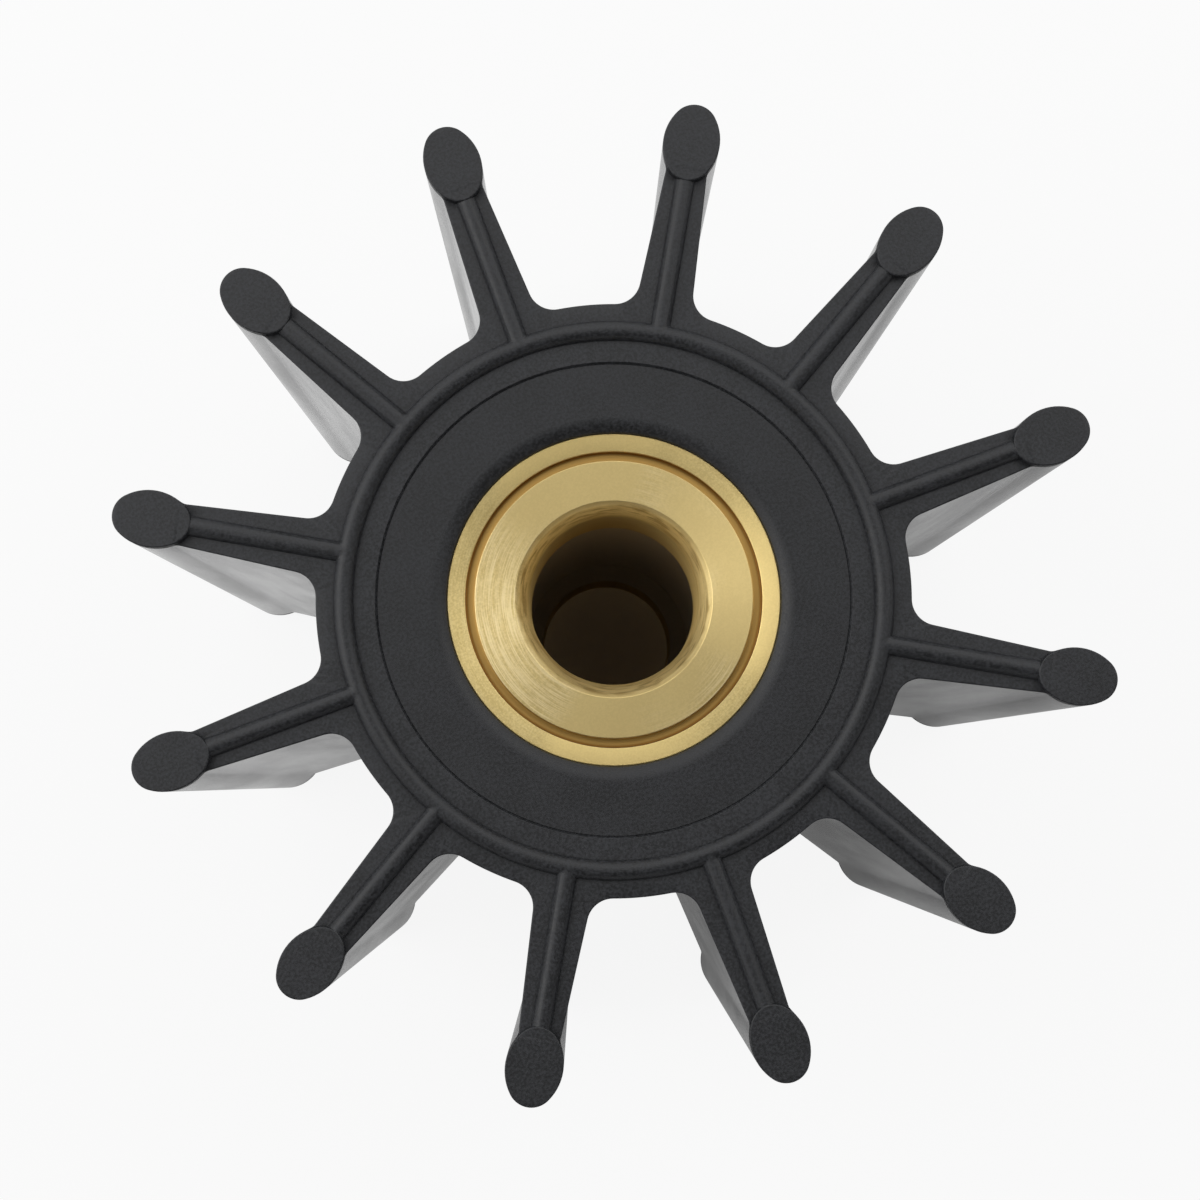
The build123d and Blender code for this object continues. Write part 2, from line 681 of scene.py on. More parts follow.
@dataclass(frozen=True)
class RubberBody:
    """The moulded rubber body, built from one blade sector."""

    ON_OUTLINE = 1e-4
    ON_SEAM = 1e-5
    SEAM_MARGIN = math.radians(0.01)
    LINE_MERGE = 1e-5
    SEARCH_STEPS = 30

    node: str
    plan: BladePlan
    face: EndFace
    ring_steps: int = 24
    bead_steps: int = 10
    rib_start: float = 0.3
    rib_overlap: float = 0.02
    smooth_angle: float = math.radians(40)
    merge_distance: float = 0.004 * MM

    @classmethod
    def from_frame(cls, node: str, bush: "BrassBush") -> "RubberBody":
        """Takes the overall sizes from the frame.

        Args:
            node: CAD node that this piece stands for.
            bush: the bush in its middle.

        Returns:
            The body.
        """
        low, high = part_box(node)
        plan = BladePlan(tip_r=(high.x - low.x) / 2 / MM)
        face = EndFace(end_z=(high.z - low.z) / 2 / MM, bush_r=bush.outer_r, hub_r=plan.hub_r)
        return cls(node, plan, face)

    def height(self, x: float, y: float) -> float:
        """Height of the end face at a point of the blade sector.

        Args:
            x: distance along the blade.
            y: distance from the blade's middle line.

        Returns:
            The height above mid length.
        """
        face, plan = self.face, self.plan
        radius = math.hypot(x, y)
        if radius < face.bead_r:
            return face.lip_height(radius)
        height = face.web_z - face.rounding(plan.inside_web(x, y))
        height = max(height, face.web_z + face.bead(radius - face.crest_r, face.end_relief))
        if face.crest_r - self.rib_start < x < plan.bulb_r:
            height = max(height, face.web_z + face.bead(y, face.end_relief - face.rib_drop))
        out = plan.outside_bulb(x, y)
        if out <= self.ON_OUTLINE:
            height = max(height, face.end_z - face.rounding(-out))
        elif out < face.draft:
            drop = face.edge + (face.end_relief - face.edge) * out / face.draft
            height = max(height, face.end_z - drop)
        return height

    def rib_end(self, y: float) -> float:
        """Distance along the blade at which a rib line ends inside the bulb.

        Args:
            y: distance of the line from the blade's middle line.

        Returns:
            The distance from the shaft axis.
        """
        near, far = self.plan.neck_r, self.plan.bulb_r
        for _ in range(self.SEARCH_STEPS):
            middle = (near + far) / 2
            if self.plan.outside_bulb(middle, y) > -self.face.edge - self.rib_overlap:
                near = middle
            else:
                far = middle
        return far

    def feature_lines(self) -> list[list[Point]]:
        """Lines of the end face that the mesh has to follow.

        Returns:
            The outline and its rounded edge, the rings, the rib and the two seams.
        """
        face, plan = self.face, self.plan
        lines: list[list[Point]] = []
        insets = face.edge_insets()
        for inset in insets:
            lines.append(plan.outline(inset))
            lines.append(plan.inner_oval(inset))
        lines.append(plan.inner_oval(-face.draft))
        offsets = face.bead_offsets(self.bead_steps)
        radii = [radius for radius, _ in face.lip]
        radii += [face.crest_r + offset for offset in offsets[1:]]
        for radius in radii:
            lines.append(arc((0.0, 0.0), radius, plan.half_turn, -plan.half_turn, self.ring_steps))
        for y in offsets:
            lines.append([(math.sqrt(face.crest_r**2 - y * y), y), (self.rib_end(y), y)])
        seam = sorted(set(radii + [plan.hub_r - inset for inset in insets]))
        for turn in (plan.half_turn, -plan.half_turn):
            lines.append([(r * math.cos(turn), r * math.sin(turn)) for r in seam])
        return lines

    def on_seam(self, point: Vector) -> bool:
        """Whether a point lies where the next sector joins on."""
        return abs(math.atan2(abs(point.y), point.x) - self.plan.half_turn) < self.ON_SEAM

    def inside(self, x: float, y: float, outline: list[Point]) -> bool:
        """Whether a point lies in the sector of the end face.

        Args:
            x: distance along the blade.
            y: distance from the blade's middle line.
            outline: closed outline of the sector.

        Returns:
            True inside.
        """
        if math.hypot(x, y) < self.face.bush_r * math.cos(self.plan.half_turn / self.ring_steps):
            return False
        if abs(math.atan2(y, x)) > self.plan.half_turn:
            return False
        crossings = 0
        for (x0, y0), (x1, y1) in zip(outline, outline[1:] + outline[:1]):
            if (y0 > y) != (y1 > y) and x < x0 + (y - y0) / (y1 - y0) * (x1 - x0):
                crossings += 1
        return crossings % 2 == 1

    def add_end_face(self, mesh: bmesh.types.BMesh) -> None:
        """Adds the sector's end face, as triangles that follow the lines of its relief.

        Args:
            mesh: the mesh that gets it.
        """
        points: list[Vector] = []
        edges: list[tuple[int, int]] = []
        for line in self.feature_lines():
            first = len(points)
            points += [Vector(point) for point in line]
            edges += [(i, i + 1) for i in range(first, len(points) - 1)]
        flat, _, faces, *_ = delaunay_2d_cdt(points, edges, [], 0, self.LINE_MERGE)
        outline = [(0.0, 0.0)] + self.plan.outline()
        tops = [mesh.verts.new((p.x * MM, p.y * MM, self.height(p.x, p.y) * MM)) for p in flat]
        for face in faces:
            a, b, c = (flat[i] for i in face)
            centre = (a + b + c) / 3
            on_seam = all(self.on_seam(corner) for corner in (a, b, c))
            if on_seam or not self.inside(centre.x, centre.y, outline):
                continue
            turn = (b - a).x * (c - a).y - (b - a).y * (c - a).x
            order = face if turn > 0 else tuple(reversed(face))
            mesh.faces.new([tops[i] for i in order])
        loose = [vert for vert in mesh.verts if not vert.link_faces]
        bmesh.ops.delete(mesh, geom=loose, context="VERTS")

    def add_walls(self, mesh: bmesh.types.BMesh) -> None:
        """Drops a wall from the rim of the end face to mid length, but not at the seams.

        Args:
            mesh: the mesh with the end face.
        """
        limit = math.tan(self.plan.half_turn - self.SEAM_MARGIN)
        rim = []
        for edge in mesh.edges:
            if edge.is_boundary and min(abs(v.co.y) / v.co.x for v in edge.verts) < limit:
                rim.append(edge)
        feet: dict[bmesh.types.BMVert, bmesh.types.BMVert] = {}
        for edge in rim:
            for vert in edge.verts:
                if vert not in feet:
                    feet[vert] = mesh.verts.new((vert.co.x, vert.co.y, 0.0))
        for edge in rim:
            loop = edge.link_loops[0]
            a, b = loop.vert, loop.link_loop_next.vert
            mesh.faces.new((b, a, feet[a], feet[b]))

    def add_mirror(self, mesh: bmesh.types.BMesh) -> None:
        """Adds the half below mid length.

        Args:
            mesh: the mesh with the upper half.
        """
        copies = {v: mesh.verts.new((v.co.x, v.co.y, -v.co.z)) for v in list(mesh.verts)}
        for face in list(mesh.faces):
            mesh.faces.new([copies[v] for v in reversed(face.verts)])
        bmesh.ops.remove_doubles(mesh, verts=mesh.verts, dist=self.merge_distance / 2)

    def sector(self) -> bpy.types.Mesh:
        """One blade with its share of the hub.

        Returns:
            Its mesh, open where the next sectors join on.
        """
        mesh = bmesh.new()
        self.add_end_face(mesh)
        self.add_walls(mesh)
        self.add_mirror(mesh)
        data = bpy.data.meshes.new("blade_sector")
        mesh.to_mesh(data)
        mesh.free()
        return data

    def build(self, material: bpy.types.Material) -> bpy.types.Object:
        """Builds the whole body.

        Args:
            material: its finish.

        Returns:
            The finished piece, which stands for its CAD node.
        """
        piece = stand("moulded_rubber", self.sector())
        BladeRing(self.plan.blades, self.merge_distance, material).apply(piece)
        finish_normals(piece, self.smooth_angle)
        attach(piece, BODY)
        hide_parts(self.node)
        return piece


@dataclass(frozen=True)
class BladeRing:
    """Geometry Nodes tree that sets copies of one sector round the shaft axis."""

    count: int
    merge: float
    material: bpy.types.Material

    def tree(self) -> bpy.types.NodeTree:
        """Builds the tree with its named inputs.

        Returns:
            The tree.
        """
        graph, source, made = node_group(
            "blade_ring", TreeKind.GEOMETRY,
            {
                "Geometry": ("NodeSocketGeometry", None),
                "Blade Count": ("NodeSocketInt", None),
                "Merge Distance": ("NodeSocketFloat", None),
                "Finish": ("NodeSocketMaterial", None),
            },
            {"Geometry": "NodeSocketGeometry"})
        given = source.outputs
        count = given["Blade Count"]
        index = graph.add("GeometryNodeInputIndex").outputs[0]
        turn = graph.times(graph.math(Sum.DIVIDE, index, count), math.tau)
        rotation = graph.add("FunctionNodeEulerToRotation", {0: graph.join(0.0, 0.0, turn)})
        points = graph.add("GeometryNodePoints", {"Count": count})
        copies = graph.add("GeometryNodeInstanceOnPoints", {
            "Points": points.outputs[0],
            "Instance": given["Geometry"],
            "Rotation": rotation.outputs[0]})
        real = graph.add("GeometryNodeRealizeInstances", {0: copies.outputs[0]})
        weld = graph.add("GeometryNodeMergeByDistance", {
            "Geometry": real.outputs[0],
            "Distance": given["Merge Distance"]})
        paint = graph.add("GeometryNodeSetMaterial", {
            "Geometry": weld.outputs[0],
            "Material": given["Finish"]})
        graph.feed(made.inputs[0], paint.outputs[0])
        return graph.tree

    def apply(self, piece: bpy.types.Object) -> None:
        """Runs the tree on a piece and keeps the result as its plain mesh.

        Args:
            piece: the piece, which holds one sector.
        """
        modifier = piece.modifiers.new("blade_ring", "NODES")
        modifier.node_group = self.tree()
        values = {"Blade Count": self.count, "Merge Distance": self.merge, "Finish": self.material}
        for item in modifier.node_group.interface.items_tree:
            if item.in_out == "INPUT" and item.name in values:
                modifier[item.identifier] = values[item.name]
        bake(piece)


# ---- Brass bush ----------------------------------------------------------------------


@dataclass(frozen=True)
class BrassBush:
    """The turned bush, as a profile spun round the shaft axis, in millimetres."""

    node: str
    outer_r: float
    end_z: float
    rim_fall: float = 0.09
    groove_rim: float = 1.7
    groove_width: float = 0.88
    groove_depth: float = 0.7
    bore_r: float = 8.0
    throat_length: float = 10.0
    mouth_width: float = 1.3
    mouth_step: float = 0.4
    mouth_step_depth: float = 0.45
    mouth_depth: float = 1.8
    chamber_relief: float = 2.0
    chamber_slope: float = 1.5
    outer_round: float = 0.12
    rim_round: float = 0.06
    corner_round: float = 0.1
    step_round: float = 0.5
    seat_round: float = 0.8
    chamber_round: float = 0.3
    segments: int = 288
    smooth_angle: float = math.radians(50)

    @classmethod
    def from_frame(cls, node: str) -> "BrassBush":
        """Takes the overall sizes from the frame."""
        low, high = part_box(node)
        return cls(node, outer_r=(high.x - low.x) / 2 / MM, end_z=(high.z - low.z) / 2 / MM)

    @property
    def groove_out(self) -> float:
        """Outer radius of the groove."""
        return self.outer_r - self.groove_rim

    @property
    def mouth_r(self) -> float:
        """Outer radius of the bore's mouth."""
        return self.bore_r + self.mouth_width

    @property
    def throat_end(self) -> float:
        """Depth at which the shaft seat ends."""
        return self.mouth_depth + self.throat_length

    def profile(self) -> list[Point]:
        """Radius and height of the section.

        Returns:
            The closed line, from mid length on the outer wall round by the upper end.
        """
        end = self.end_z
        groove_in = self.groove_out - self.groove_width
        groove_z = end - self.groove_depth
        chamber_z = end - self.throat_end
        chamber_r = self.bore_r + self.chamber_relief
        upper = rounded([
            (self.outer_r, 0.0, 0.0),
            (self.outer_r, end, self.outer_round),
            (self.groove_out, end - self.rim_fall, self.rim_round),
            (self.groove_out, groove_z, self.outer_round),
            (groove_in, groove_z, self.corner_round),
            (groove_in, end, self.corner_round),
            (self.mouth_r, end, self.corner_round),
            (self.mouth_r - self.mouth_step, end - self.mouth_step_depth, self.step_round),
            (self.bore_r, end - self.mouth_depth, self.seat_round),
            (self.bore_r, chamber_z, self.corner_round),
            (chamber_r, chamber_z - self.chamber_slope, self.chamber_round),
            (chamber_r, 0.0, 0.0),
        ])
        return upper + mirrored(upper[1:-1])

    def spin(self) -> bpy.types.Mesh:
        """Spins the profile, with a UV map that runs round the axis and along the profile.

        Returns:
            The mesh.
        """
        line = self.profile()
        lengths = [0.0]
        for (r0, z0), (r1, z1) in zip(line, line[1:] + line[:1]):
            lengths.append(lengths[-1] + math.hypot(r1 - r0, z1 - z0))
        mesh = bmesh.new()
        turning = mesh.loops.layers.uv.new("turning")
        rings = []
        for step in range(self.segments):
            turn = math.tau * step / self.segments
            rings.append([mesh.verts.new((r * math.cos(turn) * MM, r * math.sin(turn) * MM, z * MM))
                          for r, z in line])
        for step, ring in enumerate(rings):
            following = rings[(step + 1) % self.segments]
            for i in range(len(line)):
                j = (i + 1) % len(line)
                face = mesh.faces.new((ring[i], following[i], following[j], ring[j]))
                corners = ((step, i), (step + 1, i), (step + 1, i + 1), (step, i + 1))
                for loop, (u, v) in zip(face.loops, corners):
                    loop[turning].uv = (u / self.segments, lengths[v] / lengths[-1])
        if mesh.calc_volume(signed=True) < 0:
            bmesh.ops.reverse_faces(mesh, faces=mesh.faces)
        data = bpy.data.meshes.new("turned_brass")
        mesh.to_mesh(data)
        mesh.free()
        return data

    def build(self, material: bpy.types.Material) -> bpy.types.Object:
        """Builds the bush.

        Args:
            material: its finish.

        Returns:
            The finished piece, which stands for its CAD node.
        """
        piece = stand("turned_brass", self.spin())
        piece.data.materials.append(material)
        finish_normals(piece, self.smooth_angle)
        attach(piece, BODY)
        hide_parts(self.node)
        return piece


# ---- Shared effects ------------------------------------------------------------------


@dataclass(frozen=True)
class Grain:
    """Shared group: fine grain with broad, faint mottling."""

    speck_range: Range = (0.35, 0.68)
    cloud_range: Range = (0.3, 0.7)

    def build(self) -> bpy.types.NodeTree:
        """Builds the group.

        Returns:
            The group, which puts out a colour, its share of the light tone and a height.
        """
        graph, source, made = node_group(
            "surface_grain", TreeKind.SHADER,
            {
                "Vector": ("NodeSocketVector", None),
                "Grain Scale": ("NodeSocketFloat", 3000.0),
                "Mottle Scale": ("NodeSocketFloat", 200.0),
                "Dark": ("NodeSocketColor", (0.02, 0.02, 0.02, 1.0)),
                "Light": ("NodeSocketColor", (0.04, 0.04, 0.04, 1.0)),
                "Mottle": ("NodeSocketFloat", 0.3),
            },
            {"Color": "NodeSocketColor", "Share": "NodeSocketFloat", "Height": "NodeSocketFloat"})
        given = source.outputs
        fine = graph.noise(given["Vector"], given["Grain Scale"], detail=3.0, roughness=0.6)
        broad = graph.noise(given["Vector"], given["Mottle Scale"], detail=3.0, roughness=0.55)
        speck = graph.between(fine, self.speck_range)
        cloud = graph.less(graph.between(broad, self.cloud_range), NOISE_MIDDLE)
        lean = graph.math(Sum.MULTIPLY_ADD, cloud, given["Mottle"], speck)
        share = graph.between(lean, (0.0, 1.0), ease=Ease.STRAIGHT)
        graph.feed(made.inputs["Color"], graph.blend(share, given["Dark"], given["Light"]))
        graph.feed(made.inputs["Share"], share)
        graph.feed(made.inputs["Height"], fine)
        return graph.tree


@dataclass(frozen=True)
class LatheMarks:
    """Shared group: rings round the shaft axis, scratches across them and worn patches."""

    scratch_squeeze: float = 4.0
    turned_about: tuple[float, float, float] = (-1.0, -1.0, 1.0)
    patch_range: Range = (0.42, 0.6)

    def build(self) -> bpy.types.NodeTree:
        """Builds the group.

        Returns:
            The group, which puts out the distance from the axis and the three marks.
        """
        graph, source, made = node_group(
            "turning_marks", TreeKind.SHADER,
            {
                "Vector": ("NodeSocketVector", None),
                "Ring Scale": ("NodeSocketFloat", 9000.0),
                "Ring Length": ("NodeSocketFloat", 0.3 * MM),
                "Scratch Scale": ("NodeSocketFloat", 400.0),
                "Patch Scale": ("NodeSocketFloat", 60.0),
            },
            {name: "NodeSocketFloat" for name in ("Radius", "Rings", "Scratches", "Patches")})
        given = source.outputs
        x, y, z = graph.split(given["Vector"])
        radius = graph.flat_radius(x, y)
        path = graph.less(radius, z)
        turn = graph.math(Sum.ARCTAN2, y, x)
        cosine, sine = graph.math(Sum.COSINE, turn), graph.math(Sum.SINE, turn)
        reach = given["Ring Length"]
        along = graph.join(path, graph.times(cosine, reach), graph.times(sine, reach))
        rings = graph.noise(along, given["Ring Scale"], detail=2.0, roughness=0.7)
        across = graph.join(cosine, sine, graph.times(path, self.scratch_squeeze))
        scratches = graph.noise(across, given["Scratch Scale"], detail=3.0, roughness=0.6)
        facing = graph.add("ShaderNodeVectorMath", {0: given["Vector"], 1: self.turned_about},
                           operation="MULTIPLY").outputs[0]
        worn = graph.noise(facing, given["Patch Scale"], detail=2.0, roughness=0.5)
        graph.feed(made.inputs["Radius"], radius)
        graph.feed(made.inputs["Rings"], rings)
        graph.feed(made.inputs["Scratches"], scratches)
        graph.feed(made.inputs["Patches"], graph.between(worn, self.patch_range))
        return graph.tree


# ---- Finishes ------------------------------------------------------------------------


@dataclass(frozen=True)
class RubberFinish:
    """Black moulded nitrile rubber: matt, with the fine grain of a blasted mould."""

    dark: Colour = (0.005, 0.0054, 0.0065, 1.0)
    light: Colour = (0.0228, 0.024, 0.0277, 1.0)
    plate_tone: Colour = (0.75, 0.75, 0.76, 1.0)
    plate_edge: float = 0.1
    face_roughness: Range = (0.48, 0.62)
    flank_roughness: Range = (0.15, 0.22)
    flank_depth: Range = (1.1, 1.5)
    flank_inset: Range = (1.0, 0.5)
    flow_scale: float = 220.0
    flow_stretch: float = 0.15
    flow_range: Range = (0.3, 0.7)
    grain_scale: float = 3600.0
    mottle_scale: float = 260.0
    mottle: float = 0.3
    grain_height: float = 0.02 * MM
    refraction: float = 1.5

    def roughness(self, graph: Graph, face: EndFace, place: Socket, share: Socket) -> Socket:
        """Roughness: that of the grain on the end faces, smoother and drawn out on the flanks.

        Args:
            graph: where the nodes go.
            face: the end face, below which the flanks begin.
            place: place on the piece.
            share: share of the grain's light tone.

        Returns:
            The roughness.
        """
        x, y, z = graph.split(place)
        depth = graph.less(face.end_z * MM, graph.math(Sum.ABSOLUTE, z))
        below = graph.between(depth, scaled(self.flank_depth, face.end_relief * MM))
        near, far = (face.hub_r - inset for inset in self.flank_inset)
        flank = graph.times(below, graph.between(graph.flat_radius(x, y), (near * MM, far * MM)))
        drawn = graph.join(x, y, graph.times(z, self.flow_stretch))
        flow = graph.noise(drawn, self.flow_scale, detail=3.0, roughness=0.55)
        return graph.mix(flank, graph.between(share, (0.0, 1.0), self.face_roughness),
                         graph.between(flow, self.flow_range, self.flank_roughness))

    def tone(self, graph: Graph, face: EndFace, place: Socket, skin: Socket) -> Socket:
        """Colour: the grain's, a little darker on the recessed face.

        Args:
            graph: where the nodes go.
            face: the end face.
            place: place on the piece.
            skin: colour of the grain.

        Returns:
            The colour.
        """
        x, y, _ = graph.split(place)
        edge = ((face.plate_r - self.plate_edge) * MM, face.plate_r * MM)
        beyond = graph.between(graph.flat_radius(x, y), edge)
        return graph.tinted(skin, graph.blend(beyond, self.plate_tone, WHITE))

    def material(self, face: EndFace, grain: bpy.types.NodeTree) -> bpy.types.Material:
        """Builds the material.

        Args:
            face: the end face, below which the smoother flanks begin.
            grain: the shared grain group.

        Returns:
            The finished material.
        """
        made = bpy.data.materials.new("black_rubber")
        made.use_nodes = True
        graph = Graph(made.node_tree)
        shader = made.node_tree.nodes["Principled BSDF"].inputs
        place = graph.add("ShaderNodeTexCoord").outputs["Object"]
        skin = graph.group(grain, {
            "Vector": place, "Grain Scale": self.grain_scale, "Mottle Scale": self.mottle_scale,
            "Dark": self.dark, "Light": self.light, "Mottle": self.mottle})
        bump = graph.add("ShaderNodeBump", {"Distance": self.grain_height,
                                            "Height": skin["Height"]})
        graph.feed(shader["Base Color"], self.tone(graph, face, place, skin["Color"]))
        graph.feed(shader["Roughness"], self.roughness(graph, face, place, skin["Share"]))
        graph.feed(shader["Normal"], bump.outputs[0])
        graph.feed(shader["IOR"], self.refraction)
        return made


@dataclass(frozen=True)
class BrassMasks:
    """Where on the bush each tone lies, from 0 to 1."""

    rings: Socket
    scratches: Socket
    patches: Socket
    groove: Socket
    groove_corner_painted_shade: Socket
    outer_land: Socket
    mouth: Socket
    throat: Socket
    seat: Socket
    chamber: Socket
    marked: Socket
    worn: Socket


@dataclass(frozen=True)
class BrassFinish:
    """Turned brass: pale and bright on its end lands, browner in groove and bore, with painted
    shade along the groove's outer wall.
    """

    bright: Colour = (0.765, 0.595, 0.262, 1.0)
    satin: Colour = (0.725, 0.56, 0.245, 1.0)
    dull: Colour = (0.61, 0.46, 0.185, 1.0)
    worn: Colour = (0.95, 0.79, 0.45, 1.0)
    mouth_worn: Colour = (0.97, 0.76, 0.34, 1.0)
    scored: Colour = (0.42, 0.27, 0.09, 1.0)
    # Tints of the outer land: lighter away from the patches, plain on them.
    rim_tint_off_patches: Colour = (1.13, 1.13, 1.09, 1.0)
    rim_tint_on_patches: Colour = (1.0, 1.01, 0.99, 1.0)
    groove_floor: Colour = (0.5, 0.31, 0.095, 1.0)
    # Painted shade: dark brown laid along the groove's outer wall, where shade falls.
    groove_corner_painted_shade: Colour = (0.24, 0.12, 0.03, 1.0)
    throat: Colour = (0.5, 0.345, 0.125, 1.0)
    dark: Colour = (0.65, 0.56, 0.43, 1.0)
    metallic: float = 1.0
    anisotropy: float = 0.75
    brush_turn: float = 0.25
    land_roughness: Range = (0.38, 0.43)
    mouth_roughness: float = 0.38
    throat_roughness: float = 0.5
    chamber_roughness: float = 0.7
    grain_scale: float = 5200.0
    mottle_scale: float = 240.0
    mottle: float = 0.5
    ring_scale: float = 9000.0
    ring_length: float = 0.3 * MM
    scratch_scale: float = 400.0
    patch_scale: float = 60.0
    ring_height: float = 0.003 * MM
    streak_height: float = 0.008 * MM
    ring_contrast: Range = (0.25, 0.75)
    worn_contrast: Range = (0.35, 0.65)
    worn_share: Range = (0.7, 0.2)
    scored_contrast: Range = (0.5, 0.35)
    scored_share: Range = (0.0, 0.6)
    faint_share: float = 0.2
    mouth_share: float = 3.0
    land_margin: Range = (1.0, 1.5)
    groove_start: float = 0.25
    groove_painted_shade_span: Range = (0.45, 0.1)
    mouth_start: float = 0.1
    throat_span: Range = (0.5, 1.1)
    seat_span: Range = (0.8, 1.1)
    chamber_lead: float = 0.15

    def masks(self, graph: Graph, bush: BrassBush, height: Socket,
              marks: bpy.types.NodeOutputs) -> BrassMasks:
        """Finds where each tone lies.

        Args:
            graph: where the nodes go.
            bush: the bush, whose sizes place the tones.
            height: height on the piece.
            marks: outputs of the turning marks.

        Returns:
            The masks.
        """
        radius, rings, patches = marks["Radius"], marks["Rings"], marks["Patches"]
        depth = graph.less(bush.end_z * MM, graph.math(Sum.ABSOLUTE, height))
        near, far = (bush.mouth_r + margin for margin in self.land_margin)
        beyond = graph.between(radius, (near * MM, far * MM))
        within = graph.outside(beyond)
        groove = graph.times(
            graph.between(depth, (self.groove_start * MM, bush.groove_depth * MM)), beyond)
        # Span of the painted shade along the groove's outer wall.
        corner = tuple((bush.groove_out - share * bush.groove_width) * MM
                       for share in self.groove_painted_shade_span)
        rim = ((bush.groove_out - bush.groove_width) * MM, bush.groove_out * MM)
        outer_land = graph.times(graph.between(radius, rim), graph.outside(groove))
        mouth = graph.times(
            graph.between(depth, (self.mouth_start * MM, bush.mouth_step_depth * MM)), within)
        throat = graph.between(depth, scaled(self.throat_span, bush.mouth_depth * MM))
        deep = ((bush.throat_end - self.chamber_lead) * MM, bush.throat_end * MM)
        marked = graph.math(Sum.MAXIMUM, patches, mouth)
        worn = graph.times(marked, graph.between(rings, self.worn_contrast))
        return BrassMasks(
            rings=rings,
            scratches=marks["Scratches"],
            patches=patches,
            groove=groove,
            groove_corner_painted_shade=graph.between(radius, corner),
            outer_land=outer_land,
            mouth=mouth,
            throat=graph.times(throat, within),
            seat=graph.between(depth, scaled(self.seat_span, bush.mouth_depth * MM)),
            chamber=graph.between(depth, deep),
            marked=marked,
            worn=graph.times(worn, graph.mix(outer_land, *self.worn_share)),
        )

    def tone(self, graph: Graph, masks: BrassMasks, skin: Socket) -> Socket:
        """Colour of the brass.

        Args:
            graph: where the nodes go.
            masks: where each tone lies.
            skin: colour of the grain.

        Returns:
            The colour.
        """
        worn = graph.blend(masks.mouth, self.worn, self.mouth_worn)
        tone = graph.blend(masks.worn, skin, worn)
        scored = graph.between(masks.rings, self.scored_contrast, self.scored_share)
        tone = graph.blend(graph.times(masks.mouth, scored), tone, self.scored)
        # The outer land is tinted lighter away from the patches.
        rim = graph.blend(masks.patches, self.rim_tint_off_patches, self.rim_tint_on_patches)
        tone = graph.tinted(tone, graph.blend(masks.outer_land, WHITE, rim))
        # Painted shade: the groove's floor darkens towards its outer wall.
        groove = graph.blend(masks.groove_corner_painted_shade, self.groove_floor, self.groove_corner_painted_shade)
        tone = graph.blend(masks.groove, tone, groove)
        tone = graph.blend(masks.throat, tone, graph.blend(masks.worn, self.throat, self.dull))
        return graph.blend(masks.chamber, tone, self.dark)

    def roughness(self, graph: Graph, masks: BrassMasks) -> Socket:
        """Roughness of the brass.

        Args:
            graph: where the nodes go.
            masks: where each tone lies.

        Returns:
            The roughness.
        """
        land = graph.between(masks.rings, self.ring_contrast, self.land_roughness)
        inner = graph.mix(masks.seat, self.mouth_roughness, self.throat_roughness)
        inner = graph.mix(masks.chamber, inner, self.chamber_roughness)
        return graph.mix(masks.mouth, land, inner)

    def marks(self, graph: Graph, masks: BrassMasks) -> Socket:
        """Normal with the turning marks: rings, deepest in the mouth, and streaks on the rim.

        Args:
            graph: where the nodes go.
            masks: where each mark lies.

        Returns:
            The normal.
        """
        clean = graph.times(masks.outer_land, graph.outside(masks.patches))
        streaks = graph.add("ShaderNodeBump", {
            "Distance": self.streak_height,
            "Height": graph.times(clean, graph.less(masks.scratches, NOISE_MIDDLE))})
        ringed = graph.between(masks.marked, (0.0, 1.0), (self.faint_share, 1.0))
        ringed = graph.mix(masks.outer_land, ringed, self.faint_share)
        ringed = graph.math(Sum.MULTIPLY_ADD, masks.mouth, self.mouth_share, ringed)
        rings = graph.add("ShaderNodeBump", {
            "Distance": self.ring_height,
            "Height": graph.times(ringed, graph.less(masks.rings, NOISE_MIDDLE)),
            "Normal": streaks.outputs[0]})
        return rings.outputs[0]

    def material(self, bush: BrassBush, lathe: bpy.types.NodeTree,
                 grain: bpy.types.NodeTree) -> bpy.types.Material:
        """Builds the material.

        Args:
            bush: the bush, whose sizes place the browner stretches.
            lathe: the shared group of turning marks.
            grain: the shared grain group.

        Returns:
            The finished material.
        """
        made = bpy.data.materials.new("turned_brass")
        made.use_nodes = True
        graph = Graph(made.node_tree)
        shader = made.node_tree.nodes["Principled BSDF"].inputs
        place = graph.add("ShaderNodeTexCoord").outputs["Object"]
        turned = graph.group(lathe, {
            "Vector": place, "Ring Scale": self.ring_scale, "Ring Length": self.ring_length,
            "Scratch Scale": self.scratch_scale, "Patch Scale": self.patch_scale})
        skin = graph.group(grain, {
            "Vector": place, "Grain Scale": self.grain_scale, "Mottle Scale": self.mottle_scale,
            "Dark": graph.blend(turned["Patches"], self.satin, self.dull),
            "Light": self.bright, "Mottle": self.mottle})
        masks = self.masks(graph, bush, graph.split(place)[2], turned)
        tangent = graph.add("ShaderNodeTangent", direction_type="UV_MAP", uv_map="turning")
        graph.feed(shader["Base Color"], self.tone(graph, masks, skin["Color"]))
        graph.feed(shader["Roughness"], self.roughness(graph, masks))
        graph.feed(shader["Normal"], self.marks(graph, masks))
        graph.feed(shader["Tangent"], tangent.outputs[0])
        graph.feed(shader["Metallic"], self.metallic)
        graph.feed(shader["Anisotropic"], self.anisotropy)
        graph.feed(shader["Anisotropic Rotation"], self.brush_turn)
        return made


# ---- Studio --------------------------------------------------------------------------


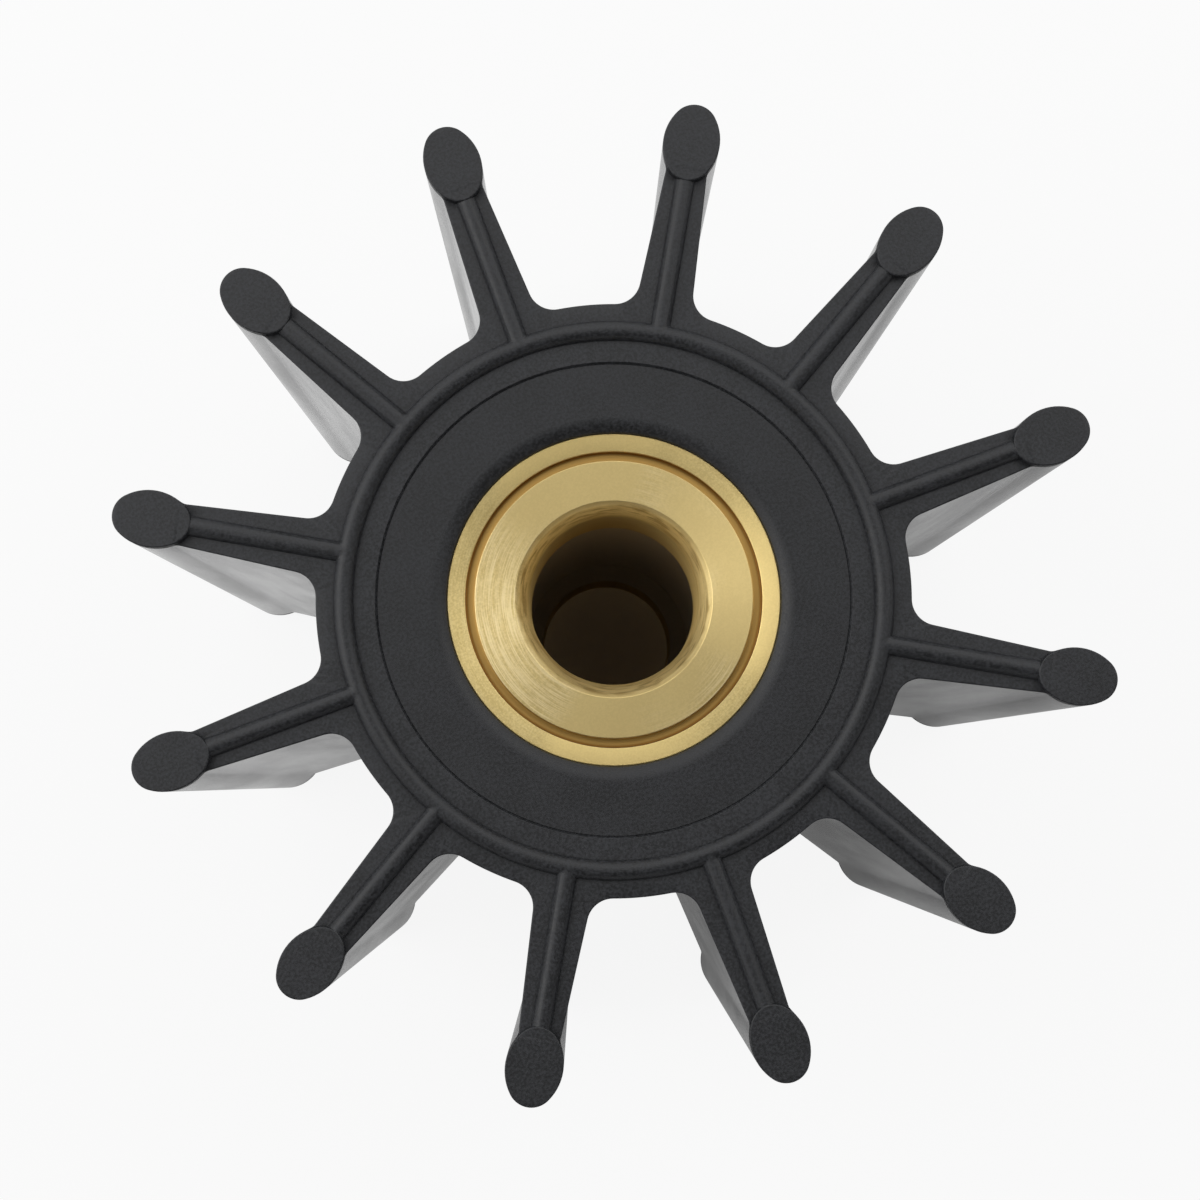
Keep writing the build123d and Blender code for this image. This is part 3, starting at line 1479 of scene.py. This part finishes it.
@dataclass(frozen=True)
class SoftLamp:
    """A square softbox, placed as the camera sees the impeller.

    The azimuth is measured from the right of the camera's view towards its top, and the
    elevation from the impeller's end face upwards, both in degrees; distances are in metres.
    """

    name: str
    azimuth: float
    elevation: float
    distance: float
    size: float
    power: float

    def build(self, turn: float) -> None:
        """Sets the lamp up.

        Args:
            turn: angle in radians by which the camera is turned on the impeller.
        """
        lamp = bpy.data.lights.new(self.name, "AREA")
        lamp.shape = "SQUARE"
        lamp.size = self.size
        lamp.energy = self.power
        around = math.radians(self.azimuth) - turn
        above = math.radians(self.elevation)
        away = Vector((math.cos(around) * math.cos(above), math.sin(around) * math.cos(above),
                       math.sin(above)))
        holder = stand(self.name, lamp)
        holder.location = away * self.distance
        holder.rotation_mode = "QUATERNION"
        holder.rotation_quaternion = away.to_track_quat("Z", "Y")


@dataclass(frozen=True)
class Camera:
    """The camera, looking down on the end face; pixels are those of a 1200 pixel wide image."""

    image: float = 1200.0
    focal: float = 2283.0
    sensor: float = 36.0
    distance: float = 212.96 * MM
    nearest: float = 10.0 * MM
    centre_x: float = 614.16
    centre_y: float = 597.42
    tilt_x: float = 0.0777
    tilt_y: float = -0.0069
    turn: float = 0.35515

    def build(self, end_z: float) -> None:
        """Sets the camera up.

        Args:
            end_z: height of the end face that it looks at, in metres.
        """
        flip = Matrix.Diagonal((1.0, -1.0, -1.0))
        tilt = Matrix.Rotation(-self.tilt_x, 3, "X") @ Matrix.Rotation(self.tilt_y, 3, "Y")
        turned = flip @ tilt @ flip @ Matrix.Rotation(self.turn, 3, "Z")
        shift = Vector(((self.centre_x - self.image / 2) / self.focal * self.distance,
                        (self.centre_y - self.image / 2) / self.focal * self.distance,
                        self.distance))
        offset = flip @ tilt @ Vector((0.0, 0.0, end_z)) + flip @ shift
        camera = bpy.data.cameras.new("camera")
        camera.sensor_width = self.sensor
        camera.lens = self.focal * self.sensor / self.image
        camera.clip_start = self.nearest
        facing = turned.transposed()
        holder = stand("camera", camera)
        holder.matrix_world = Matrix.Translation(-(facing @ offset)) @ facing.to_4x4()
        bpy.context.scene.camera = holder


@dataclass(frozen=True)
class Studio:
    """White floor and surround, soft lamps and the camera; heights and distances in metres."""

    floor_z: float
    end_z: float
    shaded_r: float
    shade_edge: float = 0.97
    floor_size: float = 6.0
    paper: Colour = (0.8, 0.8, 0.8, 1.0)
    paper_glow: float = 0.9
    # Painted shade and glow under the bore: a darker, warmer paper and a faint warm glow stand in
    # for shade and for light thrown back by the brass.
    bore_painted_shade_paper: Colour = (0.62, 0.58, 0.53, 1.0)
    bore_painted_warm_glow: Colour = (1.0, 0.62, 0.3, 1.0)
    bore_painted_glow_level: float = 0.0065
    # Painted light: in reflections the paper glows dim on the far side and bright towards the lit
    # side.
    painted_mirror_light: Range = (0.1, 0.95)
    mirror_reach: float = 50.0 * MM
    fill: float = 0.32
    ceiling: Range = (0.02, 0.78)
    ceiling_lean: float = 0.55
    ceiling_rise: Range = (0.05, 0.4)
    lit_side: float = 125.0
    view: Camera = Camera()
    lamps: tuple[SoftLamp, ...] = (
        SoftLamp("key", 174.0, 42.0, 0.6, 0.42, 1.4),
        SoftLamp("side", 30.0, 46.0, 0.6, 0.4, 0.9),
        SoftLamp("top", 100.0, 48.0, 0.42, 0.35, 0.3),
    )

    def build(self) -> None:
        """Sets everything up."""
        bpy.context.scene.view_settings.view_transform = "Standard"
        self.view.build(self.end_z)
        for lamp in self.lamps:
            lamp.build(self.view.turn)
        self.build_world()
        self.build_floor()

    def toward_light(self, graph: Graph, place: Socket) -> Socket:
        """How far a place or direction lies towards the lit side of the room.

        Args:
            graph: where the nodes go.
            place: the place or direction.

        Returns:
            The distance.
        """
        turn = math.radians(self.lit_side) - self.view.turn
        side = (math.cos(turn), math.sin(turn), 0.0)
        node = graph.add("ShaderNodeVectorMath", {0: place, 1: side}, operation="DOT_PRODUCT")
        return node.outputs["Value"]

    @staticmethod
    def direct_rays(graph: Graph, mirrored_glow: Value = 1.0) -> Socket:
        """One where a ray comes from the camera or a see-through surface, less in a mirror.

        Args:
            graph: where the nodes go.
            mirrored_glow: value for a ray that comes from a reflection.

        Returns:
            The value.
        """
        path = graph.add("ShaderNodeLightPath").outputs
        seen = graph.math(Sum.MAXIMUM, path["Is Camera Ray"], path["Is Transmission Ray"])
        return graph.math(Sum.MAXIMUM, seen, graph.times(path["Is Glossy Ray"], mirrored_glow))

    def build_world(self) -> None:
        """White where it is seen, a shaded ceiling in mirrors, a plain fill light elsewhere."""
        world = bpy.data.worlds.new("studio")
        world.use_nodes = True
        graph = Graph(world.node_tree)
        shade = world.node_tree.nodes["Background"].inputs
        toward = graph.add("ShaderNodeTexCoord").outputs["Generated"]
        rise = graph.split(toward)[2]
        overhead = graph.between(self.toward_light(graph, toward),
                                 (-self.ceiling_lean, self.ceiling_lean), self.ceiling)
        ceiling = graph.mix(graph.between(rise, self.ceiling_rise), 1.0, overhead)
        strength = graph.mix(self.direct_rays(graph), self.fill,
                             self.direct_rays(graph, ceiling))
        graph.feed(shade["Color"], WHITE)
        graph.feed(shade["Strength"], strength)
        bpy.context.scene.world = world

    def paper_material(self) -> bpy.types.Material:
        """White paper that keeps the object's shadow; under the bore it has painted shade and a
        faint painted warm glow, and in reflections painted light, brighter towards the lit side.

        Returns:
            The material.
        """
        made = bpy.data.materials.new("white_paper")
        made.use_nodes = True
        graph = Graph(made.node_tree)
        graph.tree.nodes.clear()
        place = graph.add("ShaderNodeTexCoord").outputs["Object"]
        x, y, _ = graph.split(place)
        # Under the bore the white glow is turned off, and painted shade and a faint painted warm
        # glow take its place.
        edge = (self.shaded_r * self.shade_edge, self.shaded_r)
        open_air = graph.between(graph.flat_radius(x, y), edge, (self.bore_painted_glow_level, 1.0))
        # Painted light and shadow: the paper's glow in reflections rises towards the lit side.
        mirror = graph.between(self.toward_light(graph, place),
                               (-self.mirror_reach, self.mirror_reach),
                               self.painted_mirror_light, Ease.STRAIGHT)
        glow = graph.times(self.direct_rays(graph, mirror), self.paper_glow)
        paper = graph.add("ShaderNodeBsdfDiffuse", {
            "Color": graph.blend(open_air, self.bore_painted_shade_paper, self.paper)})
        light = graph.add("ShaderNodeEmission", {
            "Color": graph.blend(open_air, self.bore_painted_warm_glow, WHITE)})
        mix = graph.add("ShaderNodeMixShader", {
            0: graph.times(glow, open_air), 1: paper.outputs[0], 2: light.outputs[0]})
        graph.add("ShaderNodeOutputMaterial", {"Surface": mix.outputs[0]})
        return made

    def build_floor(self) -> None:
        """Lays the paper under the impeller."""
        half = self.floor_size / 2
        corners = [(-half, -half), (half, -half), (half, half), (-half, half)]
        data = bpy.data.meshes.new("floor")
        data.from_pydata([(x, y, self.floor_z) for x, y in corners], [], [(0, 1, 2, 3)])
        data.materials.append(self.paper_material())
        floor = stand("floor", data)
        floor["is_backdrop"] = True


def main() -> None:
    """Builds the impeller and the studio round it."""
    logging.basicConfig(level=logging.INFO, format="%(name)s: %(message)s")
    cad_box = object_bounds()
    bush = BrassBush.from_frame("brass_bush")
    body = RubberBody.from_frame("rubber_body", bush)
    grain = Grain().build()
    rubber = body.build(RubberFinish().material(body.face, grain))
    LOG.info("%s: %d faces", rubber.name, len(rubber.data.polygons))
    brass = bush.build(BrassFinish().material(bush, LatheMarks().build(), grain))
    LOG.info("%s: %d faces", brass.name, len(brass.data.polygons))
    low, high = cad_box
    Studio(floor_z=low.z, end_z=high.z, shaded_r=bush.outer_r * MM).build()
    LOG.info("studio ready")


if __name__ == "__main__":
    main()
